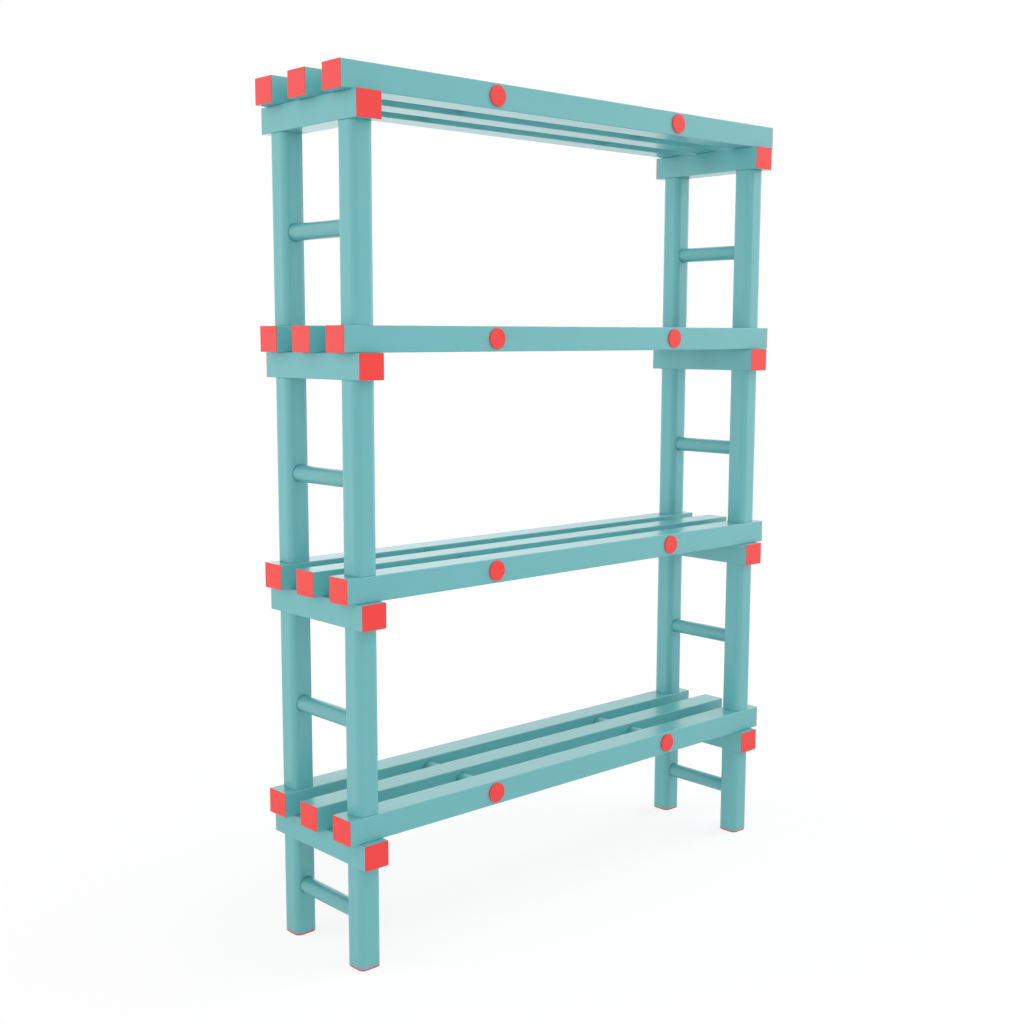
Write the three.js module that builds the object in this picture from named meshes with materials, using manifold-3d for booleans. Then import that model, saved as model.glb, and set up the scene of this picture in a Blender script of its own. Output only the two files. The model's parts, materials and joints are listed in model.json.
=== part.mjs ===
// Free-standing rack of four tiers, made of plastic tube.
// A tier is a deck of three slats on two end frames. An end frame is two posts, a rung and a crossbar.
// Each post carries a spigot that rises through crossbar and slat into the socket of the post above,
// so a tier lifts off the one below it.
// Millimetres. Left is -X, the front is -Y, up is +Z, and the origin is on the floor under the middle.

import * as THREE from 'three';
import { mergeVertices } from 'three/addons/utils/BufferGeometryUtils.js';
import Module from 'manifold-3d';

// Driving dimensions.
const deckLength = 1200; // over the end caps of the slats
const baseDeckTop = 297; // from the floor to the top of the lowest deck
const tierPitch = 447; // from one deck top to the next
const tierCount = 4;

const slat = {
  width: 54,
  height: 48,
  wall: 4,
  gap: 51, // between two slats of a deck
  edgeRadius: 1.5,
};

const crossbar = {
  width: 54,
  height: 48,
  wall: 4,
  inset: 22, // from the end of the slats to the outer face
  overhang: 15, // past the front and rear slats
  edgeRadius: 1.5,
};

const post = {
  width: 48,
  wall: 4,
  cornerRadius: 12.5,
  topPlate: 8, // closes the tube under the spigot
};

const spigot = {
  diameter: 28,
  engagement: 30, // length that stands above the deck, inside the next post
  leadIn: 3, // chamfer at the tip
  endGap: 4, // left free past the tip
};

const socket = {
  mouthChamfer: 2,
};

const rung = {
  diameter: 32,
  wall: 3,
  insertion: 30, // past the inner face of each post
  baseHeight: 101, // axis above the floor, in the lowest tier
  upperHeight: 171, // axis above the deck that the frame stands on, in the other tiers
};

const dowel = {
  diameter: 30,
  height: 24.5, // axis above the underside of the slats
  insetLeft: 359, // from the left end of the slats
  insetRight: 327, // from the right end of the slats
};

const button = {
  lip: 4.8, // past the dowel all round
  thickness: 3.2,
  rimRadius: 1,
};

const endCap = {
  plate: 3,
  chamfer: 0.5,
};

const footCap = {
  plate: 3,
  skirtDepth: 16,
  skirtWall: 3,
};

const clearance = 0.3; // all round a spigot, rung, dowel or skirt in its hole
const overrun = 2; // that a cutter passes the face it opens

// Facets of the round forms: all round a turned one, and to a quarter turn of a corner.
const roundSides = 14;
const spigotSides = 12; // a multiple of four, so that a hole turned by a quarter turn still matches
const edgeSteps = 1;
const cornerSteps = 3;
const innerCornerSteps = 1;
const rimSteps = 1;

const teal = { color: 0x6cb5b8, roughness: 0.35 };
const red = { color: 0xf73b39, roughness: 0.35 };

// Sizes and places that follow.
const halfTurn = Math.PI;
const quarterTurn = halfTurn / 2;
const slatPitch = slat.width + slat.gap;
const deckDepth = 3 * slat.width + 2 * slat.gap;
const crossbarLength = deckDepth + 2 * crossbar.overhang;
const frameX = deckLength / 2 - crossbar.inset - crossbar.width / 2;
const postY = slatPitch;
const dowelLeftX = dowel.insetLeft - deckLength / 2;
const dowelRightX = deckLength / 2 - dowel.insetRight;
const bearerHeight = crossbar.height + slat.height;
const basePostLength = baseDeckTop - bearerHeight - footCap.plate;
const upperPostLength = tierPitch - bearerHeight;
const joiningSpigot = bearerHeight + spigot.engagement;
const closingSpigot = bearerHeight - slat.wall - spigot.endGap;

const wasm = await Module();
wasm.setup();

// A closed solid from a geometry whose seams and poles are merged.
function toSolid(geometry) {
  geometry.deleteAttribute('normal');
  geometry.deleteAttribute('uv');
  const merged = mergeVertices(geometry);
  const corners = merged.index.array;
  const kept = [];
  for (let i = 0; i < corners.length; i += 3) {
    const [a, b, c] = corners.subarray(i, i + 3);
    if (a !== b && b !== c && c !== a) kept.push(a, b, c);
  }
  const mesh = new wasm.Mesh({
    numProp: 3,
    vertProperties: new Float32Array(merged.attributes.position.array),
    triVerts: new Uint32Array(kept),
  });
  return new wasm.Manifold(mesh);
}

// The geometry of a finished solid.
function toGeometry(solid) {
  const mesh = solid.getMesh();
  const geometry = new THREE.BufferGeometry();
  geometry.setAttribute('position', new THREE.BufferAttribute(mesh.vertProperties, 3));
  geometry.setIndex(new THREE.BufferAttribute(mesh.triVerts, 1));
  geometry.computeVertexNormals();
  return geometry;
}

// Outline of a rectangle about the origin, each corner turned in a number of steps.
function roundedOutline(width, height, radius, steps) {
  const x = width / 2 - radius;
  const y = height / 2 - radius;
  const centres = [[x, y], [-x, y], [-x, -y], [x, -y]];
  const points = centres.flatMap(([cx, cy], corner) => Array.from({ length: steps + 1 }, (_, step) => {
    const angle = (corner + step / steps) * quarterTurn;
    return new THREE.Vector2(cx + radius * Math.cos(angle), cy + radius * Math.sin(angle));
  }));
  return new THREE.Shape(points);
}

// A straight bar along Z from one height to another.
function bar(outline, from, to) {
  const geometry = new THREE.ExtrudeGeometry(outline, { depth: to - from, bevelEnabled: false });
  geometry.translate(0, 0, from);
  return geometry;
}

// A box about the Z axis from one height to another.
function block(width, depth, from, to) {
  const geometry = new THREE.BoxGeometry(width, depth, to - from);
  geometry.translate(0, 0, (from + to) / 2);
  return geometry;
}

// A turned form about the Y axis. The profile lists radius and height, from low to high.
function turned(profile, sides) {
  const points = profile.map(([radius, height]) => new THREE.Vector2(radius, height));
  return new THREE.LatheGeometry(points, sides);
}

// A round cutter or core about the Y axis, from one height to another.
function round(diameter, from, to, sides) {
  const radius = diameter / 2;
  return turned([[0, from], [radius, from], [radius, to], [0, to]], sides);
}

// The hole that passes an upright spigot through a tube wall, from one height to another.
function spigotHole(x, from, to) {
  const hole = round(spigot.diameter + 2 * clearance, from, to, spigotSides);
  hole.rotateX(quarterTurn);
  hole.translate(x, 0, 0);
  return toSolid(hole);
}

// A rectangular tube along X whose underside is at height 0.
// Each end is closed by the plate of its cap, flush with the tube and chamfered round the rim.
function cappedTube(length, size) {
  const { width, height, wall, edgeRadius } = size;
  const outline = roundedOutline(width, height, edgeRadius, edgeSteps);
  const outside = new THREE.ExtrudeGeometry(outline, {
    depth: length - 2 * endCap.chamfer,
    bevelEnabled: true,
    bevelThickness: endCap.chamfer,
    bevelSize: endCap.chamfer,
    bevelOffset: -endCap.chamfer,
    bevelSegments: 1,
  });
  outside.translate(0, 0, endCap.chamfer - length / 2);

  const plateInside = length / 2 - endCap.plate;
  const hollow = block(width - 2 * wall, height - 2 * wall, -plateInside, plateInside);
  const [shell, cavity] = [outside, hollow].map((geometry) => {
    geometry.rotateZ(quarterTurn);
    geometry.rotateY(quarterTurn);
    geometry.translate(0, 0, height / 2);
    return toSolid(geometry);
  });
  return shell.subtract(cavity);
}

// One slat, with the two dowel holes through its sides.
function slatBlank() {
  let solid = cappedTube(deckLength, slat);
  const reach = slat.width / 2 + overrun;
  for (const x of [dowelLeftX, dowelRightX]) {
    const hole = round(dowel.diameter + 2 * clearance, -reach, reach, roundSides);
    hole.translate(x, 0, dowel.height);
    solid = solid.subtract(toSolid(hole));
  }
  return solid;
}

// A front or rear slat, drilled for the spigots: right through where a tier stands on it.
function outerSlat(carriesTier) {
  const top = carriesTier ? slat.height + overrun : slat.height / 2;
  let solid = slatBlank();
  for (const x of [-frameX, frameX]) solid = solid.subtract(spigotHole(x, -overrun, top));
  return solid;
}

// A crossbar along X, drilled for the spigots of its two posts.
function crossbarBlank() {
  let solid = cappedTube(crossbarLength, crossbar);
  for (const x of [-postY, postY]) {
    solid = solid.subtract(spigotHole(x, -overrun, crossbar.height + overrun));
  }
  return solid;
}

// The spigot on a post, chamfered at its tip and rooted in the top plate.
function spigotSolid(postLength, spigotLength) {
  const radius = spigot.diameter / 2;
  const tip = postLength + spigotLength;
  const root = postLength - post.topPlate;
  const profile = [[0, root], [radius, root], [radius, tip - spigot.leadIn], [radius - spigot.leadIn, tip], [0, tip]];
  const body = turned(profile, spigotSides);
  body.rotateX(quarterTurn);
  return toSolid(body);
}

// The socket in the foot of an upper post, with a chamfered mouth.
function socketCut(depth) {
  const radius = spigot.diameter / 2 + clearance;
  const mouth = radius + socket.mouthChamfer;
  const cut = turned([
    [0, -overrun],
    [mouth, -overrun],
    [mouth, 0],
    [radius, socket.mouthChamfer],
    [radius, depth + overrun],
    [0, depth + overrun],
  ], spigotSides);
  cut.rotateX(quarterTurn);
  return toSolid(cut);
}

// A post that stands on height 0, with its rung on the +Y side.
// An upper post has a socket in its foot, and a base post is open there for its foot cap.
function postSolid({ length, spigotLength, rungHeight, hasSocket }) {
  const { width, wall, cornerRadius, topPlate } = post;
  const socketDepth = spigot.engagement + spigot.endGap;
  const innerWidth = width - 2 * wall;
  const hollowFrom = hasSocket ? socketDepth : -overrun;
  const outline = roundedOutline(width, width, cornerRadius, cornerSteps);
  const innerOutline = roundedOutline(innerWidth, innerWidth, cornerRadius - wall, innerCornerSteps);
  const outside = toSolid(bar(outline, 0, length));
  const hollow = toSolid(bar(innerOutline, hollowFrom, length - topPlate));
  const rungHole = round(rung.diameter + 2 * clearance, 0, width / 2 + overrun, roundSides);
  rungHole.translate(0, 0, rungHeight);
  const drilled = outside.subtract(hollow).subtract(toSolid(rungHole));
  const solid = drilled.add(spigotSolid(length, spigotLength));
  return hasSocket ? solid.subtract(socketCut(socketDepth)) : solid;
}

// A rung along Y, an open tube whose ends stand inside its two posts.
function rungSolid() {
  const reach = postY - post.width / 2 + rung.insertion;
  const outer = rung.diameter / 2;
  const inner = outer - rung.wall;
  const section = [[inner, -reach], [outer, -reach], [outer, reach], [inner, reach], [inner, -reach]];
  return toSolid(turned(section, roundSides));
}

// A dowel along Y through the three slats, with a round button seated on each outer face.
function dowelSolid() {
  const seat = deckDepth / 2;
  const face = seat + button.thickness;
  const core = dowel.diameter / 2;
  const rim = core + button.lip;
  const { rimRadius } = button;
  const half = [[core, seat], [rim, seat]];
  for (let i = 0; i <= rimSteps; i += 1) {
    const angle = (i / rimSteps) * quarterTurn;
    const radius = rim - rimRadius + rimRadius * Math.cos(angle);
    half.push([radius, face - rimRadius + rimRadius * Math.sin(angle)]);
  }
  half.push([0, face]);
  const mirrored = half.map(([radius, height]) => [radius, -height]).reverse();
  return toSolid(turned([...mirrored, ...half], roundSides));
}

// A foot cap: a pad under the post and a skirt that plugs into it.
function footCapSolid() {
  const skirtOutside = post.width - 2 * post.wall - 2 * clearance;
  const skirtRadius = post.cornerRadius - post.wall - clearance;
  const skirtInside = skirtOutside - 2 * footCap.skirtWall;
  const innerRadius = skirtRadius - footCap.skirtWall;
  const skirt = roundedOutline(skirtOutside, skirtOutside, skirtRadius, innerCornerSteps);
  skirt.holes.push(roundedOutline(skirtInside, skirtInside, innerRadius, innerCornerSteps));
  const pad = roundedOutline(post.width, post.width, post.cornerRadius, cornerSteps);
  const top = footCap.plate + footCap.skirtDepth;
  return toSolid(bar(pad, 0, footCap.plate)).add(toSolid(bar(skirt, footCap.plate / 2, top)));
}

const unit = new THREE.Group();
unit.name = 'shelving_unit';

// Puts one named piece into a group, turned about the upright axis.
function place(group, name, geometry, finish, position, turn = 0) {
  const { color, roughness } = finish;
  const material = new THREE.MeshStandardMaterial({ color, roughness, metalness: 0, flatShading: true });
  const piece = new THREE.Mesh(geometry, material);
  piece.name = name;
  piece.position.set(...position);
  piece.rotation.z = turn;
  group.add(piece);
}

const sides = [['left', -1], ['right', 1]];
const depths = [['front', -1], ['rear', 1]];

const shapes = {
  openSlat: toGeometry(outerSlat(true)),
  closedSlat: toGeometry(outerSlat(false)),
  middleSlat: toGeometry(slatBlank()),
  crossbar: toGeometry(crossbarBlank()),
  rung: toGeometry(rungSolid()),
  dowel: toGeometry(dowelSolid()),
  footCap: toGeometry(footCapSolid()),
  basePost: toGeometry(postSolid({
    length: basePostLength,
    spigotLength: joiningSpigot,
    rungHeight: rung.baseHeight - footCap.plate,
    hasSocket: false,
  })),
  upperPost: toGeometry(postSolid({
    length: upperPostLength,
    spigotLength: joiningSpigot,
    rungHeight: rung.upperHeight,
    hasSocket: true,
  })),
  topPost: toGeometry(postSolid({
    length: upperPostLength,
    spigotLength: closingSpigot,
    rungHeight: rung.upperHeight,
    hasSocket: true,
  })),
};

// One end frame: two posts that face each other, the rung between them and the crossbar over them.
function buildEndFrame(tier, label, [sideName, side], standing, deckTop) {
  const isBase = tier === 0;
  const isTop = tier === tierCount - 1;
  const rungHeight = isBase ? rung.baseHeight : standing + rung.upperHeight;
  const postShape = isBase ? shapes.basePost : isTop ? shapes.topPost : shapes.upperPost;
  const x = side * frameX;
  const crossbarZ = deckTop - bearerHeight;
  for (const [depthName, depth] of depths) {
    const turn = depth < 0 ? 0 : halfTurn;
    place(unit, `${label}_post_${depthName}_${sideName}`, postShape, teal, [x, depth * postY, standing], turn);
  }
  place(unit, `${label}_rung_${sideName}`, shapes.rung, teal, [x, 0, rungHeight]);
  place(unit, `${label}_crossbar_${sideName}`, shapes.crossbar, teal, [x, 0, crossbarZ], quarterTurn);
}

// One deck: three slats side by side and the two dowels that tie them.
function buildDeck(tier, label, deckTop) {
  const outer = tier === tierCount - 1 ? shapes.closedSlat : shapes.openSlat;
  const slatZ = deckTop - slat.height;
  place(unit, `${label}_slat_front`, outer, teal, [0, -slatPitch, slatZ]);
  place(unit, `${label}_slat_middle`, shapes.middleSlat, teal, [0, 0, slatZ]);
  place(unit, `${label}_slat_rear`, outer, teal, [0, slatPitch, slatZ]);
  place(unit, `${label}_dowel_left`, shapes.dowel, teal, [dowelLeftX, 0, slatZ + dowel.height]);
  place(unit, `${label}_dowel_right`, shapes.dowel, teal, [dowelRightX, 0, slatZ + dowel.height]);
}

for (const [sideName, side] of sides) {
  for (const [depthName, depth] of depths) {
    const position = [side * frameX, depth * postY, 0];
    place(unit, `foot_cap_${depthName}_${sideName}`, shapes.footCap, red, position);
  }
}

for (let tier = 0; tier < tierCount; tier += 1) {
  const label = `tier_${tier + 1}`;
  const deckTop = baseDeckTop + tier * tierPitch;
  const standing = tier === 0 ? footCap.plate : deckTop - tierPitch;
  for (const side of sides) buildEndFrame(tier, label, side, standing, deckTop);
  buildDeck(tier, label, deckTop);
}

export default unit;
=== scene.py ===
"""A free-standing shelving unit of plastic tube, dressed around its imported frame.

Four tiers stand on one another. A tier is a deck of three slats, tied by two dowels, on two end
frames of two posts, a rung and a crossbar. Every tube is modelled with its wall, its drilled holes
and the plugs in its ends, so that it still looks right when a tier is lifted off the one below.

Metres. Left is -X, the front is -Y and up is +Z.
"""

import json
import logging
import math
from collections.abc import Iterator, Mapping, Sequence
from dataclasses import dataclass
from enum import Enum
from typing import ClassVar

import bpy
import numpy as np
from mathutils import Matrix, Vector


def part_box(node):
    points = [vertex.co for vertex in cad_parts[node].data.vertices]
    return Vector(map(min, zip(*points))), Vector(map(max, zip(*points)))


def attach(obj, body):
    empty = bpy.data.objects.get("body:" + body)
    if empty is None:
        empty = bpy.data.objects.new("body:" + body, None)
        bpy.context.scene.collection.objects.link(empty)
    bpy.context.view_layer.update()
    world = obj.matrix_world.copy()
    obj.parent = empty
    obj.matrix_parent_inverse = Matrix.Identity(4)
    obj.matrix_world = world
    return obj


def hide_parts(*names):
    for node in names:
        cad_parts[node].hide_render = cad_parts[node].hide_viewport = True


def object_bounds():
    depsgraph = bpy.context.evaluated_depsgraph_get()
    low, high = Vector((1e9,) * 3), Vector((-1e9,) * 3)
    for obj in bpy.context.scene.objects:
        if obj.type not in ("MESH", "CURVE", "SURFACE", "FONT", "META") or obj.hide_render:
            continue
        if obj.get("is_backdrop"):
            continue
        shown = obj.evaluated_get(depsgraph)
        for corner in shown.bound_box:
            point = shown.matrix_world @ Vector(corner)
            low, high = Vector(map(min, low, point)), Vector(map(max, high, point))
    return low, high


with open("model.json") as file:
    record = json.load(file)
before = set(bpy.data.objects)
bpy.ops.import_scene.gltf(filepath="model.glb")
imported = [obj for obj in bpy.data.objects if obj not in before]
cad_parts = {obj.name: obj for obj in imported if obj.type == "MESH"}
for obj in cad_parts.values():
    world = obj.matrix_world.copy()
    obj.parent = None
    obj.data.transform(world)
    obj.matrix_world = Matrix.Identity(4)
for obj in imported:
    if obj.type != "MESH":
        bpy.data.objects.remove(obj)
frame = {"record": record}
CAD_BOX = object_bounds()

log = logging.getLogger("shelving_unit")

Array = np.ndarray
MM = 0.001  # metres in a millimetre
TURN = math.tau
QUARTER = TURN / 4
WHITE = (1.0, 1.0, 1.0, 1.0)
TIERS = (1, 2, 3, 4)


# Directions and sides


class Facing(Enum):
    """The way in which a piece's own axis points once the piece is in the unit."""

    RIGHT = "right"
    LEFT = "left"
    REAR = "rear"
    FRONT = "front"
    UP = "up"
    DOWN = "down"

    def matrix(self) -> Matrix:
        """Turns a piece from its own (along, across, upright) axes into the unit's axes.

        Returns:
            A rotation, which never mirrors the piece.
        """
        if self is Facing.UP:
            return Matrix(((0, 1, 0, 0), (0, 0, 1, 0), (1, 0, 0, 0), (0, 0, 0, 1)))
        if self is Facing.DOWN:
            return Matrix(((0, 1, 0, 0), (0, 0, -1, 0), (-1, 0, 0, 0), (0, 0, 0, 1)))
        quarters = {Facing.RIGHT: 0, Facing.REAR: 1, Facing.LEFT: 2, Facing.FRONT: 3}[self]
        return Matrix.Rotation(quarters * QUARTER, 4, "Z")


class Side(Enum):
    """A side of a tube, seen in its section. The value counts anticlockwise from the top."""

    TOP = 0
    LEFT = 1
    BOTTOM = 2
    RIGHT = 3

    def outward(self) -> Array:
        """The side's outward direction in the section: the top's (0, 1), turned by quarters."""
        turn = (self.value + 1) * QUARTER
        return np.round((math.cos(turn), math.sin(turn)))

    def along(self) -> Array:
        """The direction in the section in which an outline walks along this side."""
        turn = (self.value + 2) * QUARTER
        return np.round((math.cos(turn), math.sin(turn)))


# Surfaces


@dataclass(frozen=True)
class Outline:
    """A rectangle with round corners about the origin, as the section of a tube.

    The walk round it starts at the right end of the top right corner's arc and goes anticlockwise:
    an arc, then the straight side after it, four times. A point is the arc's centre, which slides
    from corner to corner along a straight side, plus the radius times the outward direction.

    Attributes:
        width: Size across.
        height: Size upright.
        radius: Radius of each corner.
        arc_steps: Steps to a corner.
        side_steps: Steps to a straight side.
    """

    width: float
    height: float
    radius: float
    arc_steps: int = 4
    side_steps: int = 12

    @property
    def quarter(self) -> int:
        """Points in one corner and the straight side after it."""
        return self.arc_steps + self.side_steps

    @property
    def count(self) -> int:
        """Points all round."""
        return 4 * self.quarter

    def points(self, inset: Array | float = 0.0) -> Array:
        """Points of the outline, moved inwards along its normals.

        Args:
            inset: How far each copy of the outline is moved inwards.

        Returns:
            An array of shape (*inset.shape, count, 2).
        """
        corner, step = np.divmod(np.arange(self.count), self.quarter)
        turn = (corner + np.minimum(step / self.arc_steps, 1)) * QUARTER
        outward = np.stack([np.cos(turn), np.sin(turn)], axis=1)
        slide = np.maximum(step - self.arc_steps, 0)[:, None] / self.side_steps
        reach = np.array([self.width, self.height]) / 2 - self.radius
        centres = np.array([[1, 1], [-1, 1], [-1, -1], [1, -1]]) * reach
        centre = (1 - slide) * centres[corner] + slide * centres[(corner + 1) % 4]
        radius = self.radius - np.asarray(inset, float)[..., None, None]
        return centre + radius * outward

    def circle(self, radius: float) -> Array:
        """A circle with as many points as the outline, which faces it point for point.

        Args:
            radius: The circle's radius.

        Returns:
            An array of shape (count, 2), even round the circle, with a point at 45 degrees where
            the outline has the middle of its first corner.
        """
        turn = (np.arange(self.count) - self.arc_steps / 2) / self.count * TURN + QUARTER / 2
        return radius * np.stack([np.cos(turn), np.sin(turn)], axis=1)

    def columns(self, side: Side, spread: int) -> Array:
        """Numbers of the points along one side.

        Args:
            side: The side.
            spread: How many arc points past each end of the straight side are taken in.

        Returns:
            Point numbers in the order of the walk.
        """
        first = side.value * self.quarter + self.arc_steps - spread
        return np.arange(first, first + self.side_steps + 2 * spread + 1) % self.count

    def rise(self, side: Side, across: Array) -> Array:
        """Distance of a side's surface from the tube's axis.

        It is flat, and past its straight part falls away on the corner's circle: half the size,
        less the radius, plus the root of radius squared less distance past the straight squared.

        Args:
            side: The side.
            across: Distances from the middle of the side, along it.

        Returns:
            An array of the shape of across.
        """
        halves = (self.width / 2, self.height / 2)
        flat, half = halves if side in (Side.TOP, Side.BOTTOM) else halves[::-1]
        past = np.maximum(np.abs(across) - (flat - self.radius), 0)
        return half - self.radius + np.sqrt(self.radius**2 - past**2)


class Skin:
    """One closed surface in the making: points and faces, kept as whole arrays."""

    SHARP_FROM = math.radians(35)  # edges that bend more than this are shaded sharp
    FLAT_WEIGHT = 80  # how much large faces count in the normals, where 50 is even

    def __init__(self) -> None:
        """Starts with nothing."""
        self._points: list[Array] = []
        self._quads: list[Array] = []
        self._triangles: list[Array] = []
        self._count = 0

    def add(self, points: Array) -> Array:
        """Stores points.

        Args:
            points: An array of shape (..., 3), in the piece's own axes.

        Returns:
            The points' numbers, in the shape (...).
        """
        flat = points.reshape(-1, 3)
        numbers = np.arange(self._count, self._count + len(flat)).reshape(points.shape[:-1])
        self._points.append(flat)
        self._count += len(flat)
        return numbers

    def bridge(self, loops: Sequence[Array] | Array, kept: Array | None = None) -> None:
        """Puts faces between each closed loop and the next.

        A face faces outwards where the loops run anticlockwise round the axis and climb along it.

        Args:
            loops: Point numbers, as many in each loop.
            kept: Which faces are made, of shape (loops - 1, points), or None for all of them.
        """
        rows = np.stack(list(loops))
        near, far = rows[:-1], rows[1:]
        quads = np.stack([near, np.roll(near, -1, 1), np.roll(far, -1, 1), far], axis=-1)
        self._quads.append((quads if kept is None else quads[kept]).reshape(-1, 4))

    def open_with(self, loop: Array, place: float) -> None:
        """Closes the first loop with a fan about a point on the axis.

        Args:
            loop: Point numbers of the loop.
            place: Where the fan's point is along the axis.
        """
        middle = np.broadcast_to(self.add(np.array([place, 0.0, 0.0])), loop.shape)
        self._triangles.append(np.stack([middle, np.roll(loop, -1), loop], axis=1))

    def close_with(self, loop: Array, place: float) -> None:
        """Closes the last loop with a fan about a point on the axis.

        Args:
            loop: Point numbers of the loop.
            place: Where the fan's point is along the axis.
        """
        middle = np.broadcast_to(self.add(np.array([place, 0.0, 0.0])), loop.shape)
        self._triangles.append(np.stack([loop, np.roll(loop, -1), middle], axis=1))

    def mesh(self, name: str) -> bpy.types.Mesh:
        """Makes the mesh, smooth but for its real edges, with flat faces shaded flat.

        Args:
            name: The mesh's name.

        Returns:
            A mesh in the piece's own axes.
        """
        rough = bpy.data.meshes.new(f"{name}_rough")
        faces = np.concatenate(self._quads).tolist()
        faces += [triangle for fan in self._triangles for triangle in fan.tolist()]
        rough.from_pydata(np.concatenate(self._points), [], faces)
        rough.shade_smooth()
        rough.set_sharp_from_angle(angle=self.SHARP_FROM)
        holder = bpy.data.objects.new(name, rough)
        bpy.context.scene.collection.objects.link(holder)
        weighted = holder.modifiers.new("even_flats", "WEIGHTED_NORMAL")
        weighted.keep_sharp = True
        weighted.weight = self.FLAT_WEIGHT
        ready = holder.evaluated_get(bpy.context.evaluated_depsgraph_get())
        made = bpy.data.meshes.new_from_object(ready)
        made.name = name
        bpy.data.objects.remove(holder)
        bpy.data.meshes.remove(rough)
        return made


def section(outline: Array, places: Array | float) -> Array:
    """Sets outlines square to a piece's axis.

    Args:
        outline: Points in the section, of shape (..., count, 2).
        places: Where each outline is along the axis, of shape (...).

    Returns:
        Points of shape (..., count, 3), the place first.
    """
    along = np.broadcast_to(np.asarray(places, float)[..., None, None], (*outline.shape[:-1], 1))
    return np.concatenate([along, outline], axis=-1)


def quarter_round(radius: float, steps: int = 4) -> tuple[Array, Array]:
    """A rounded edge, from the end face to the side of a piece.

    Over a quarter turn the inset is the radius times 1 - sine, and the depth is it times 1 - cosine.

    Args:
        radius: The edge's radius.
        steps: Steps over the quarter turn.

    Returns:
        How far each step is inside the side, and how deep it is below the end face.
    """
    turn = np.linspace(0, QUARTER, steps + 1)
    return radius * (1 - np.sin(turn)), radius * (1 - np.cos(turn))


def round_block(grid: Array, rows: Array, columns: Array) -> Array:
    """The points round a block of a grid, anticlockwise from its first corner.

    Args:
        grid: Numbers or points, with rows and columns as the first two axes.
        rows: Row numbers of the block, rising.
        columns: Column numbers of the block, in the order of the walk.

    Returns:
        The block's edge, of shape (points, ...).
    """
    return np.concatenate([
        grid[rows[0], columns[:-1]],
        grid[rows[:-1], columns[-1]],
        grid[rows[-1], columns[:0:-1]],
        grid[rows[:0:-1], columns[0]],
    ])


@dataclass(frozen=True)
class Hole:
    """A round hole through one side of a tube.

    Attributes:
        side: The side that is drilled.
        place: Its middle along the tube.
        radius: Its radius.
        offset: Its middle in the tube's section, off the side's own middle.
        spread: How many arc points past the straight side the worked block takes in.
        chamfer: Size of its broken edge.
        steps: Steps of the worked block along the tube.
        steps_across: Steps of the worked block across it.
        margin: Length of the worked block, as a share of the hole's.
    """

    side: Side
    place: float
    radius: float
    offset: tuple[float, float] = (0.0, 0.0)
    spread: int = 0
    chamfer: float = 0.5 * MM
    steps: int = 12
    steps_across: int = 12
    margin: float = 1.4

    @property
    def band(self) -> tuple[float, float]:
        """Where the worked block starts and ends along the tube."""
        reach = self.margin * self.radius
        return self.place - reach, self.place + reach

    def circle(self, radius: float) -> Array:
        """A circle round the hole's middle, flat on the side.

        Each edge of the worked block faces a quarter of the circle, which takes as many even steps
        as the edge. The turns are counted in eighths, from the across axis.

        Args:
            radius: The circle's radius.

        Returns:
            As many points as the worked block's edge has, as (across, along) places.
        """
        centre = np.array([np.dot(self.offset, self.side.along()), self.place])
        across = self.steps_across
        edges = [(-3, -1, across), (-1, 1, self.steps), (1, 3, across), (3, 5, self.steps)]
        eighths = np.concatenate([np.linspace(a, b, n, endpoint=False) for a, b, n in edges])
        turn = eighths * QUARTER / 2
        return centre + radius * np.stack([np.cos(turn), np.sin(turn)], axis=1)


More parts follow.
